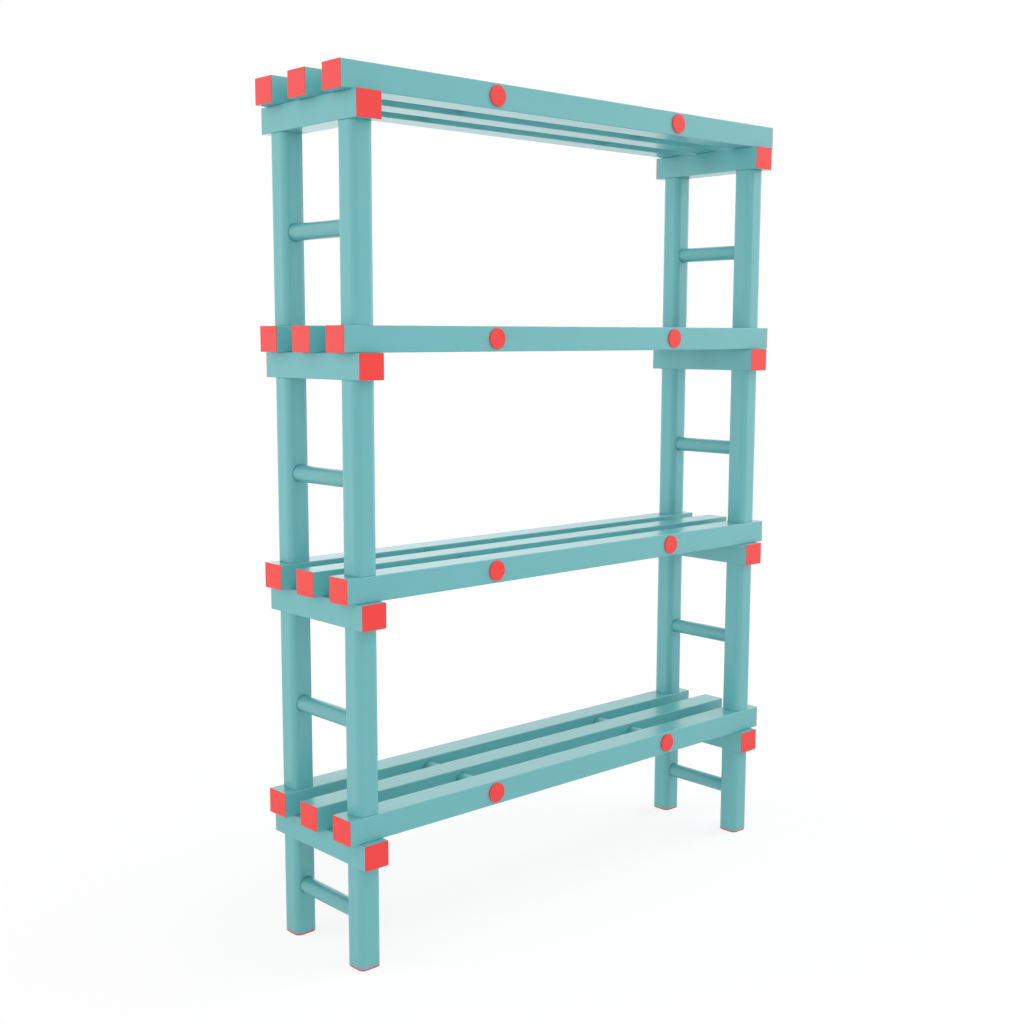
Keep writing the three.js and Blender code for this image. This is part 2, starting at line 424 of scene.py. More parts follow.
@dataclass(frozen=True)
class TubeWall:
    """A tube's wall: the outer outline carried along it and the inner one carried back.

    A hole takes a block out of both grids. In its place a chain of loops runs from the block's
    edge in the outer grid to the hole's circle, down its barrel and out to the block's edge in the
    inner grid. A loop between the two is the circle plus a share of the way to the block's edge,
    set on the side's surface.

    Attributes:
        outer: Outside section.
        inner: Inside section, with as many points.
        span: Where the outside starts and ends.
        hollow: Where the inside starts and ends.
        holes: Holes drilled through the wall.
        edge: Radius of the rounded edge at each end of the outside.
        spacing: Longest step along an undrilled stretch.
        fan_shares: Where the loops round a hole lie, as shares of the way out to the block's edge.
    """

    outer: Outline
    inner: Outline
    span: tuple[float, float]
    hollow: tuple[float, float]
    holes: tuple[Hole, ...] = ()
    edge: float = 0.5 * MM
    spacing: float = 90 * MM
    fan_shares: tuple[float, ...] = (0.62, 0.3, 0.1)

    def stations(self) -> tuple[Array, Array]:
        """Places along the tube at which its outline is drawn.

        Returns:
            The places, and how far the outer outline is inset at each.
        """
        low, high = self.span
        inset, depth = quarter_round(self.edge)
        bands = {hole.band: hole.steps for hole in self.holes}
        inside = {place for place in self.hollow if low < place < high}
        knots = sorted({low + self.edge, high - self.edge} | inside | {p for b in bands for p in b})
        places = [low + depth[:-1]]
        for start, end in zip(knots[:-1], knots[1:]):
            steps = bands.get((start, end)) or math.ceil((end - start) / self.spacing)
            places.append(np.linspace(start, end, steps, endpoint=False))
        places.append(high - depth[::-1])
        along = np.concatenate(places)
        insets = np.zeros_like(along)
        insets[: len(inset)] = inset
        insets[-len(inset):] = inset[::-1]
        return along, insets

    def build(self, skin: Skin) -> tuple[Array, Array]:
        """Adds both faces of the wall, with its holes, and leaves its ends open.

        Args:
            skin: The surface that takes the wall.

        Returns:
            Point numbers of the outer and of the inner grid, a row to each station.
        """
        places, insets = self.stations()
        first, last = (int(np.argmin(np.abs(places - end))) for end in self.hollow)
        outer_points = section(self.outer.points(insets), places)
        inner_places = places[first: last + 1]
        inner_points = section(self.inner.points(np.zeros(len(inner_places))), inner_places)
        outer, inner = skin.add(outer_points), skin.add(inner_points)
        outer_kept = np.ones((len(outer) - 1, self.outer.count), bool)
        inner_kept = np.ones((len(inner) - 1, self.outer.count), bool)
        for hole in self.holes:
            low, high = hole.band
            slack = self.edge / 2
            rows = np.flatnonzero((places > low - slack) & (places < high + slack))
            columns = self.outer.columns(hole.side, hole.spread)
            outer_kept[np.ix_(rows[:-1], columns[:-1])] = False
            inner_kept[np.ix_(rows[:-1] - first, columns[:-1])] = False
            rings = self._rings(
                hole,
                round_block(outer_points, rows, columns),
                round_block(inner_points, rows - first, columns),
            )
            skin.bridge([
                round_block(outer, rows, columns),
                *[skin.add(ring) for ring in rings],
                round_block(inner, rows - first, columns),
            ])
        skin.bridge(outer, outer_kept)
        skin.bridge(inner[::-1], inner_kept[::-1])
        return outer, inner

    def _rings(self, hole: Hole, outer_edge: Array, inner_edge: Array) -> Iterator[Array]:
        """Loops from a block's outer edge through its hole to the block's inner edge.

        Args:
            hole: The hole.
            outer_edge: The block's edge in the outer grid.
            inner_edge: The block's edge in the inner grid.

        Yields:
            Each loop's points between those two edges.
        """
        mouth = hole.circle(hole.radius + hole.chamfer)
        barrel = hole.circle(hole.radius)
        way_out = self._chart(hole, outer_edge) - mouth
        way_back = self._chart(hole, inner_edge) - barrel
        for share in self.fan_shares:
            yield self._set_on(self.outer, hole, mouth + share * way_out)
        yield self._set_on(self.outer, hole, mouth)
        yield self._set_on(self.outer, hole, barrel, hole.chamfer)
        yield self._set_on(self.inner, hole, barrel)
        for share in self.fan_shares[::-1]:
            yield self._set_on(self.inner, hole, barrel + share * way_back)

    @staticmethod
    def _chart(hole: Hole, points: Array) -> Array:
        """Points as (across, along) places on the hole's side."""
        return np.stack([points[:, 1:] @ hole.side.along(), points[:, 0]], axis=1)

    @staticmethod
    def _set_on(outline: Outline, hole: Hole, chart: Array, drop: float = 0.0) -> Array:
        """Puts (across, along) places on a side's surface.

        Args:
            outline: The section that the surface belongs to.
            hole: The hole, for its side.
            chart: The places.
            drop: How far below the surface they go.

        Returns:
            Points in the tube's axes.
        """
        out = outline.rise(hole.side, chart[:, 0]) - drop
        plane = out[:, None] * hole.side.outward() + chart[:, :1] * hole.side.along()
        return np.concatenate([chart[:, 1:], plane], axis=1)


def stack(skin: Skin, rows: Sequence[tuple[Array, float]]) -> list[Array]:
    """Adds loops, each a flat outline at its own place along the axis.

    Args:
        skin: The surface that takes the points.
        rows: Each loop's outline and its place.

    Returns:
        Point numbers of each loop.
    """
    return [skin.add(section(outline, place)) for outline, place in rows]


def turned(name: str, profile: Sequence[tuple[float, float]], sides: int, ring: bool) -> bpy.types.Mesh:
    """A form turned about its own axis.

    Each profile point (radius, place) becomes a circle: radius times cosine and sine of the turn.

    Args:
        name: The mesh's name.
        profile: Radius and place of each circle. The outside is listed in the way the axis points.
        sides: Points to a circle.
        ring: True if the profile closes on itself, False if both of its ends close on the axis.

    Returns:
        The finished mesh.
    """
    skin = Skin()
    turn = np.arange(sides) / sides * TURN
    radii, places = np.array(profile, float).T
    unit = np.stack([np.cos(turn), np.sin(turn)], axis=1)
    loops = skin.add(section(radii[:, None, None] * unit, places))
    if ring:
        loops = np.concatenate([loops, loops[:1]])
    else:
        skin.open_with(loops[0], places[0])
        skin.close_with(loops[-1], places[-1])
    skin.bridge(loops)
    return skin.mesh(name)


# Materials


class Wire:
    """An output of a shader node. Arithmetic on it adds Math nodes."""

    def __init__(self, shader: "Shader", socket: bpy.types.NodeSocket) -> None:
        """Wraps one output.

        Args:
            shader: The tree that the output is in.
            socket: The output.
        """
        self.shader = shader
        self.socket = socket

    def _math(self, operation: str, first: "Wire | float", second: "Wire | float") -> "Wire":
        """One Math node on two values."""
        return self.shader.node("ShaderNodeMath", {"operation": operation}, {0: first, 1: second})

    def __add__(self, other: "Wire | float") -> "Wire":
        """Sum of two values."""
        return self._math("ADD", self, other)

    def __radd__(self, other: float) -> "Wire":
        """Sum of a number and a value."""
        return self._math("ADD", other, self)

    def __sub__(self, other: "Wire | float") -> "Wire":
        """Difference of two values."""
        return self._math("SUBTRACT", self, other)

    def __rsub__(self, other: float) -> "Wire":
        """A number less a value."""
        return self._math("SUBTRACT", other, self)

    def __mul__(self, other: "Wire | float") -> "Wire":
        """Product of two values."""
        return self._math("MULTIPLY", self, other)

    def __rmul__(self, other: float) -> "Wire":
        """Product of a number and a value."""
        return self._math("MULTIPLY", other, self)

    def __pow__(self, other: "Wire | float") -> "Wire":
        """A value to a power."""
        return self._math("POWER", self, other)

    def __or__(self, other: "Wire | float") -> "Wire":
        """The greater of two values."""
        return self._math("MAXIMUM", self, other)


class Shader:
    """A node tree that is written as expressions."""

    def __init__(self, tree: bpy.types.NodeTree) -> None:
        """Empties the tree.

        Args:
            tree: The node tree of a material or a world.
        """
        self.tree = tree
        tree.nodes.clear()

    def node(
        self,
        kind: str,
        settings: Mapping[str, object] | None = None,
        sockets: Mapping[str | int, object] | None = None,
        output: str | int = 0,
    ) -> Wire:
        """Adds one node.

        Args:
            kind: The node's type.
            settings: Its settings, such as a Math node's operation, which are set first.
            sockets: Values, or wires, of its inputs, by name, identifier or number.
            output: The output that is returned, by name, identifier or number.

        Returns:
            A wire from that output.
        """
        made = self.tree.nodes.new(kind)
        for name, value in (settings or {}).items():
            setattr(made, name, value)
        for name, value in (sockets or {}).items():
            socket = self._find(made.inputs, name)
            if isinstance(value, Wire):
                self.tree.links.new(value.socket, socket)
            else:
                socket.default_value = value
        return Wire(self, self._find(made.outputs, output)) if made.outputs else Wire(self, None)

    @staticmethod
    def _find(sockets: bpy.types.bpy_prop_collection, name: str | int) -> bpy.types.NodeSocket:
        """Finds one socket.

        Args:
            sockets: A node's inputs or outputs.
            name: The socket's number, identifier or name.

        Returns:
            The socket.
        """
        if isinstance(name, int):
            return sockets[name]
        return next(s for s in sockets if name in (s.identifier, s.name))


def linear(red: int, green: int, blue: int) -> tuple[float, float, float, float]:
    """A colour of a screen as the light that it stands for.

    Args:
        red: 0 to 255.
        green: 0 to 255.
        blue: 0 to 255.

    Returns:
        Linear red, green and blue, and full alpha.
    """
    shares = np.array([red, green, blue]) / 255
    light = np.where(shares <= 0.04045, shares / 12.92, ((shares + 0.055) / 1.055) ** 2.4)
    return (*light.tolist(), 1.0)


class Grain(Enum):
    """How a piece was drawn or moulded. The value counts its faint marks to the metre, each way."""

    ALONG_X = (4.0, 800.0, 800.0)
    ALONG_Y = (800.0, 4.0, 800.0)
    ALONG_Z = (800.0, 800.0, 4.0)
    MOULDED = (90.0, 90.0, 90.0)


@dataclass(frozen=True)
class Plastic:
    """Coloured plastic with a satin skin.

    Its tone drifts slowly over the unit, and its gloss drifts where hands have wiped it. Drawn
    tube has fine lines along it, and all of it has a skin of small pimples that softens its shine.

    Attributes:
        name: The material's name.
        slot: The record's material slot. Not used.
        deep: Colour where the tone is lowest.
        pale: Colour where the tone is highest.
        roughness: Middle roughness.
        ior: Index of refraction.
        grain: How the piece was made.
        cloud_scale: Drifts of tone to the metre.
        smudge_scale: Drifts of gloss to the metre.
        skin_scale: Pimples to the metre.
        gloss_swing: How far the roughness swings in all.
        relief: Height of the skin.
        bump: How far the skin bends the shine, of 1.
        detail: Finer waves in the drifts of tone and in the drawn lines.
        smudge_detail: Finer waves in the drifts of gloss.
        skin_detail: Finer waves in the pimples.
        tone_line_share: Part of the drawn lines in the tone. The drifts have the rest.
        gloss_line_share: Part of the drawn lines in the gloss.
        gloss_pimple_share: Part of the pimples in the gloss. The smudges have the rest.
        relief_line_share: Part of the drawn lines in the relief. The pimples have the rest.
    """

    name: str
    slot: str
    deep: tuple[float, float, float, float]
    pale: tuple[float, float, float, float]
    roughness: float
    ior: float
    grain: Grain
    cloud_scale: float = 5.0
    smudge_scale: float = 38.0
    skin_scale: float = 1400.0
    gloss_swing: float = 0.03
    relief: float = 0.01 * MM
    bump: float = 0.3
    detail: float = 2.0
    smudge_detail: float = 3.0
    skin_detail: float = 1.0
    tone_line_share: float = 0.15
    gloss_line_share: float = 0.15
    gloss_pimple_share: float = 0.25
    relief_line_share: float = 0.2

    def material(self) -> bpy.types.Material:
        """Makes the material, or returns it where it is already made.

        Returns:
            A material on Object coordinates.
        """
        if self.name in bpy.data.materials:
            return bpy.data.materials[self.name]
        made = bpy.data.materials.new(self.name)
        made.use_nodes = True
        shader = Shader(made.node_tree)
        place = shader.node("ShaderNodeTexCoord", output="Object")
        stretched = shader.node("ShaderNodeMapping", sockets={"Vector": place, "Scale": self.grain.value})
        lines = self._noise(shader, stretched, 1.0, self.detail)
        cloud = self._noise(shader, place, self.cloud_scale, self.detail)
        smudges = self._noise(shader, place, self.smudge_scale, self.smudge_detail)
        pimples = self._noise(shader, place, self.skin_scale, self.skin_detail)
        tone = (1 - self.tone_line_share) * cloud + self.tone_line_share * lines
        colour = shader.node(
            "ShaderNodeMix",
            {"data_type": "RGBA"},
            {"Factor_Float": tone, "A_Color": self.deep, "B_Color": self.pale},
            "Result_Color",
        )
        smudge_share = 1 - self.gloss_line_share - self.gloss_pimple_share
        drift = smudge_share * smudges + self.gloss_pimple_share * pimples + self.gloss_line_share * lines
        height = (1 - self.relief_line_share) * pimples + self.relief_line_share * lines
        normal = shader.node(
            "ShaderNodeBump",
            sockets={"Strength": self.bump, "Distance": self.relief, "Height": height},
        )
        surface = shader.node(
            "ShaderNodeBsdfPrincipled",
            sockets={
                "Base Color": colour,
                "Roughness": self.gloss_swing * drift + (self.roughness - self.gloss_swing / 2),
                "Normal": normal,
                "IOR": self.ior,
            },
        )
        shader.node("ShaderNodeOutputMaterial", sockets={"Surface": surface})
        return made

    @staticmethod
    def _noise(shader: Shader, place: Wire, scale: float, detail: float) -> Wire:
        """Even noise of 0 to 1 about 0.5.

        Args:
            shader: The tree that takes it.
            place: Coordinates.
            scale: Waves to the unit of the coordinates.
            detail: How many finer waves lie in each.

        Returns:
            The noise.
        """
        return shader.node(
            "ShaderNodeTexNoise",
            sockets={"Vector": place, "Scale": scale, "Detail": detail},
        )


TEAL_DEEP = linear(101, 180, 183)
TEAL_PALE = linear(105, 183, 187)
TEAL_ROUGHNESS = 0.295
TEAL_IOR = 1.62
# The rungs' teal is a darker copy of the teal above: painted shade, for the shade that falls on the rungs
# between the posts.
RUNG_PAINTED_SHADE_DEEP = linear(94, 172, 175)
RUNG_PAINTED_SHADE_PALE = linear(98, 175, 179)
RED_DEEP = linear(253, 18, 13)
RED_PALE = linear(255, 22, 17)
RED_ROUGHNESS = 0.25
RED_IOR = 1.38


def teal(grain: Grain) -> Plastic:
    """The teal plastic of tubes and rods.

    Args:
        grain: The way in which the piece was drawn.

    Returns:
        The finish.
    """
    name = f"teal_plastic_{grain.name.lower()}"
    return Plastic(name, "teal_plastic", TEAL_DEEP, TEAL_PALE, TEAL_ROUGHNESS, TEAL_IOR, grain)


# The rungs' finish: the same teal plastic in the darker colours, which paint shade onto the rungs.
RUNG_PAINTED_SHADE = Plastic(
    name="teal_plastic_rung",
    slot="teal_plastic",
    deep=RUNG_PAINTED_SHADE_DEEP,
    pale=RUNG_PAINTED_SHADE_PALE,
    roughness=TEAL_ROUGHNESS,
    ior=TEAL_IOR,
    grain=Grain.ALONG_Y,
)
RED = Plastic(
    name="red_plastic",
    slot="red_plastic",
    deep=RED_DEEP,
    pale=RED_PALE,
    roughness=RED_ROUGHNESS,
    ior=RED_IOR,
    grain=Grain.MOULDED,
)


# Putting pieces into the unit


BODIES = frame["record"]["behaviour"]["bodies"]
BODY_OF = {node: body for body, nodes in BODIES.items() for node in nodes}


def put(
    name: str,
    shape: bpy.types.Mesh,
    facing: Facing,
    place: Vector,
    finish: Plastic,
    node: str,
    half_turn: bool = False,
) -> bpy.types.Object:
    """Puts a copy of a shape into the unit, in place of a CAD node.

    Args:
        name: The piece's name.
        shape: Its shape, in its own axes.
        facing: Where its own axis points.
        place: Where its own origin goes.
        finish: Its material.
        node: The CAD node that it stands for, wholly or in part.
        half_turn: True to turn it half round the upright axis.

    Returns:
        The piece, with its place in its mesh.
    """
    mesh = shape.copy()
    mesh.name = name
    turn = Matrix.Rotation(TURN / 2 if half_turn else 0, 4, "Z")
    mesh.transform(Matrix.Translation(place) @ turn @ facing.matrix())
    mesh.materials.clear()
    mesh.materials.append(finish.material())
    piece = bpy.data.objects.new(name, mesh)
    bpy.context.scene.collection.objects.link(piece)
    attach(piece, BODY_OF[node])
    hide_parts(node)
    return piece


def middle(node: str) -> Vector:
    """The middle of a CAD node's box."""
    low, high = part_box(node)
    return (low + high) / 2


def foot(node: str) -> Vector:
    """The middle of the underside of a CAD node's box."""
    low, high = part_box(node)
    return Vector(((low.x + high.x) / 2, (low.y + high.y) / 2, low.z))


# Pieces


@dataclass(frozen=True)
class Spigot:
    """The round peg on a post, and the holes that it passes.

    Attributes:
        diameter: Its diameter.
        clearance: Left free all round it in a hole.
        lead_in: Chamfer at its tip.
        root: Radius of the fillet at its root.
    """

    diameter: float = 28 * MM
    clearance: float = 0.3 * MM
    lead_in: float = 3 * MM
    root: float = 1 * MM

    @property
    def hole_radius(self) -> float:
        """Radius of a hole that passes the spigot."""
        return self.diameter / 2 + self.clearance


@dataclass
class Plug:
    """A moulded plug that closes a tube: a plate flush with the tube, and a skirt inside it.

    Its axis points out of the tube, from the plate's outer face.

    Attributes:
        width: Size of the tube across.
        height: Size of the tube upright.
        radius: Radius of the tube's corners.
        wall: The tube's wall.
        inner_radius: Radius of the tube's inner corners.
        plate: Thickness of the plate's rim, which shows past the tube.
        web: Depth of the plate's back inside the tube.
        seam: How far the plate's side is set in from the tube's.
        edge: Radius of the edge round the plate's face.
        back_edge: Radius of the edge round the plate's back.
        skirt_depth: Depth of the skirt.
        skirt_wall: Wall of the skirt.
        lead_in: Chamfer of the skirt's rim, at most.
        clearance: Left free between skirt and tube.
    """

    width: float
    height: float
    radius: float
    wall: float
    inner_radius: float
    plate: float = 1 * MM
    web: float = 3 * MM
    seam: float = 0.05 * MM
    edge: float = 0.3 * MM
    back_edge: float = 0.25 * MM
    skirt_depth: float = 16 * MM
    skirt_wall: float = 2.5 * MM
    lead_in: float = 0.8 * MM
    clearance: float = 0.3 * MM

    def mesh(self, name: str) -> bpy.types.Mesh:
        """The plug's surface: up the inside of the skirt, round its rim and out to the face.

        Args:
            name: The mesh's name.

        Returns:
            The finished mesh.
        """
        play = 2 * (self.wall + self.clearance)
        outer_radius = self.inner_radius - self.clearance / 2
        skirt = Outline(self.width - play, self.height - play, outer_radius)
        inside_radius = max(outer_radius - self.skirt_wall, outer_radius / 2)
        thin = 2 * self.skirt_wall
        inside = Outline(skirt.width - thin, skirt.height - thin, inside_radius)
        plate = Outline(self.width - 2 * self.seam, self.height - 2 * self.seam, self.radius - self.seam)
        rim = self.plate + self.skirt_depth
        lead = min(self.lead_in, outer_radius / 2)
        back_inset, back_depth = quarter_round(self.back_edge, steps=2)
        face_inset, face_depth = quarter_round(self.edge)

        skin = Skin()
        loops = stack(skin, [
            (inside.points(), -self.web),
            (inside.points(), -rim),
            (skirt.points(lead), -rim),
            (skirt.points(), lead - rim),
            (skirt.points(), -self.plate),
            *[(plate.points(i), d - self.plate) for i, d in zip(back_inset, back_depth)],
            *[(plate.points(i), -d) for i, d in zip(face_inset[::-1], face_depth[::-1])],
        ])
        skin.open_with(loops[0], -self.web)
        skin.bridge(loops)
        skin.close_with(loops[-1], 0.0)
        return skin.mesh(name)


@dataclass
class Bar:
    """A rectangular tube about its own middle, with the plugs in its two ends.

    Attributes:
        length: Length over the plugs' faces.
        width: Size across.
        height: Size upright.
        holes: Holes drilled in the tube.
        wall: The tube's wall.
        radius: Radius of its edges.
        inner_radius: Radius of its inner edges.
        rim: Radius of the edge at each end of the tube.
        cap_plate: Thickness of a plug's rim, which shows past the tube.
        seam: Gap between the tube and that rim.
    """

    length: float
    width: float
    height: float
    holes: tuple[Hole, ...]
    wall: float = 4 * MM
    radius: float = 1.5 * MM
    inner_radius: float = 1 * MM
    rim: float = 0.25 * MM
    cap_plate: float = 1 * MM
    seam: float = 0.15 * MM

    def tube_mesh(self, name: str) -> bpy.types.Mesh:
        """The tube's surface: its wall, and the rim at each end.

        Args:
            name: The mesh's name.

        Returns:
            The finished mesh.
        """
        length = self.length - 2 * (self.cap_plate + self.seam)
        ends = (-length / 2, length / 2)
        inside = Outline(self.width - 2 * self.wall, self.height - 2 * self.wall, self.inner_radius)
        outside = Outline(self.width, self.height, self.radius)
        skin = Skin()
        outer, inner = TubeWall(outside, inside, ends, ends, self.holes, self.rim).build(skin)
        skin.bridge([outer[-1], inner[-1]])
        skin.bridge([inner[0], outer[0]])
        return skin.mesh(name)

    def cap(self) -> Plug:
        """The plug that closes an end."""
        return Plug(self.width, self.height, self.radius, self.wall, self.inner_radius, self.cap_plate)


@dataclass
class RoundTube:
    """A round tube about its own middle, open at both ends.

    Attributes:
        length: Its length.
        diameter: Its diameter.
        wall: Its wall.
        edge: Chamfer of its ends.
        sides: Facets round it.
    """

    length: float
    diameter: float
    wall: float
    edge: float = 0.5 * MM
    sides: int = 64

    def mesh(self, name: str) -> bpy.types.Mesh:
        """The tube's surface: up the outside, in at the end and back down the inside.

        Args:
            name: The mesh's name.

        Returns:
            The finished mesh.
        """
        half = self.length / 2
        outer = self.diameter / 2
        inner = outer - self.wall
        profile = [
            (outer - self.edge, -half),
            (outer, self.edge - half),
            (outer, half - self.edge),
            (outer - self.edge, half),
            (inner, half),
            (inner, -half),
        ]
        return turned(name, profile, self.sides, ring=True)


@dataclass
class Button:
    """The button on a dowel's end: a flat disc with a round rim, and a stem that plugs into the dowel.

    Its axis points out from the face that it seats on.

    Attributes:
        stem_radius: Radius of the stem.
        diameter: Diameter of the disc.
        thickness: Thickness of the disc.
        stem_depth: Length of the stem.
        lead_in: Chamfer of the stem's tip.
        seat_edge: Chamfer of the disc's seating edge.
        face_edge: Radius of the edge round the disc's face.
        face_steps: Steps over that edge.
        sides: Facets round it.
    """

    stem_radius: float
    diameter: float = 39.6 * MM
    thickness: float = 3.2 * MM
    stem_depth: float = 14 * MM
    lead_in: float = 1 * MM
    seat_edge: float = 0.3 * MM
    face_edge: float = 1 * MM
    face_steps: int = 6
    sides: int = 96

    def mesh(self, name: str) -> bpy.types.Mesh:
        """The button's surface: up the stem, out along the seat and round the rim to the face.

        Args:
            name: The mesh's name.

        Returns:
            The finished mesh.
        """
        rim = self.diameter / 2
        stem = self.stem_radius
        inset, drop = quarter_round(self.face_edge, self.face_steps)
        profile = [
            (stem - self.lead_in, -self.stem_depth),
            (stem, self.lead_in - self.stem_depth),
            (stem, 0.0),
            (rim - self.seat_edge, 0.0),
            (rim, self.seat_edge),
            *[(rim - i, self.thickness - d) for i, d in zip(inset[::-1], drop[::-1])],
        ]
        return turned(name, profile, self.sides, ring=False)


@dataclass
class TierPart:
    """A part of one tier.

    Attributes:
        tier: The tier's number, from the floor up.
    """

    tier: int

    spigot: ClassVar[Spigot] = Spigot()
    shapes: ClassVar[dict[str, bpy.types.Mesh]] = {}  # made once for all tiers, by the shape's name

    @property
    def label(self) -> str:
        """The start of the names of this tier's pieces."""
        return f"tier_{self.tier}"

    def put_bar(self, node: str, kind: str, bar: Bar, ways: dict[str, Facing], grain: Grain) -> None:
        """Puts a tube and the plugs in its two ends in place of one CAD node.

        Args:
            node: The CAD node, which also gives the start of the pieces' names.
            kind: The name of the tube's shape.
            bar: The bar, made only where no earlier one is of its kind.
            ways: The name of each end, and the way in which it points.
            grain: The way in which the tube was drawn.
        """
        cap_kind = f"{kind}_cap"
        if kind not in self.shapes:
            self.shapes[kind] = bar.tube_mesh(kind)
            self.shapes[cap_kind] = bar.cap().mesh(cap_kind)
        low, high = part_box(node)
        centre = (low + high) / 2
        half = (high - low) / 2
        first = next(iter(ways.values()))
        put(f"{node}_tube", self.shapes[kind], first, centre, teal(grain), node)
        for end, facing in ways.items():
            out = facing.matrix().to_3x3() @ Vector((1, 0, 0))
            place = centre + Vector(o * h for o, h in zip(out, half))
            put(f"{node}_cap_{end}", self.shapes[cap_kind], facing, place, RED, node)


@dataclass
class Deck(TierPart):
    """The deck of one tier: three slats and the two dowels that tie them.

    Attributes:
        carries_tier: True if posts stand on this deck.
        dowel_diameter: Diameter of a dowel.
        dowel_wall: Wall of a dowel.
        dowel_clearance: Left free round a dowel in its hole, and round a button's stem in the dowel.
    """

    carries_tier: bool
    dowel_diameter: float = 30 * MM
    dowel_wall: float = 4 * MM
    dowel_clearance: float = 0.3 * MM

    def build(self) -> None:
        """Makes the deck's pieces."""
        for row in ("front", "middle", "rear"):
            self._slat(row)
        for side in ("left", "right"):
            self._dowel(side)
        log.info("%s: deck of three slats and two dowels", self.label)

    def _slat(self, row: str) -> None:
        """Makes one slat: its tube and two end caps.

        Args:
            row: Front, middle or rear.
        """
        node = f"{self.label}_slat_{row}"
        low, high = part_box(node)
        length, width, height = high - low
        outer = row != "middle"
        drilled = "slat_open" if self.carries_tier else "slat_closed"
        kind = drilled if outer else "slat_plain"
        bar = Bar(length, width, height, self._slat_holes(outer))
        self.put_bar(node, kind, bar, {"right": Facing.RIGHT, "left": Facing.LEFT}, Grain.ALONG_X)

    def _slat_holes(self, outer: bool) -> tuple[Hole, ...]:
        """Holes of a slat: for both dowels, and in an outer slat for the spigots.

        Args:
            outer: True for the front and the rear slat.

        Returns:
            The holes.
        """
        slat_middle = middle(f"{self.label}_slat_front").z
        radius = self.dowel_diameter / 2 + self.dowel_clearance
        holes = []
        for side in ("left", "right"):
            dowel = middle(f"{self.label}_dowel_{side}")
            offset = (0.0, dowel.z - slat_middle)
            holes += [Hole(face, dowel.x, radius, offset) for face in (Side.LEFT, Side.RIGHT)]
            post = middle(f"{self.label}_post_front_{side}")
            if outer:
                holes.append(Hole(Side.BOTTOM, post.x, self.spigot.hole_radius))
            if outer and self.carries_tier:
                holes.append(Hole(Side.TOP, post.x, self.spigot.hole_radius))
        return tuple(holes)

    def _dowel(self, side: str) -> None:
        """Makes one dowel: its tube and the button on each end.

        Args:
            side: Left or right.
        """
        node = f"{self.label}_dowel_{side}"
        centre = middle(node)
        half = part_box(f"{self.label}_slat_rear")[1].y - centre.y
        if "dowel" not in self.shapes:
            dowel = RoundTube(2 * half, self.dowel_diameter, self.dowel_wall)
            button = Button(self.dowel_diameter / 2 - self.dowel_wall - self.dowel_clearance)
            self.shapes["dowel"] = dowel.mesh("dowel")
            self.shapes["button"] = button.mesh("button")
        put(f"{node}_tube", self.shapes["dowel"], Facing.REAR, centre, teal(Grain.ALONG_Y), node)
        for end, facing, sign in (("front", Facing.FRONT, -1), ("rear", Facing.REAR, 1)):
            place = centre + Vector((0, sign * half, 0))
            put(f"{node}_button_{end}", self.shapes["button"], facing, place, RED, node)


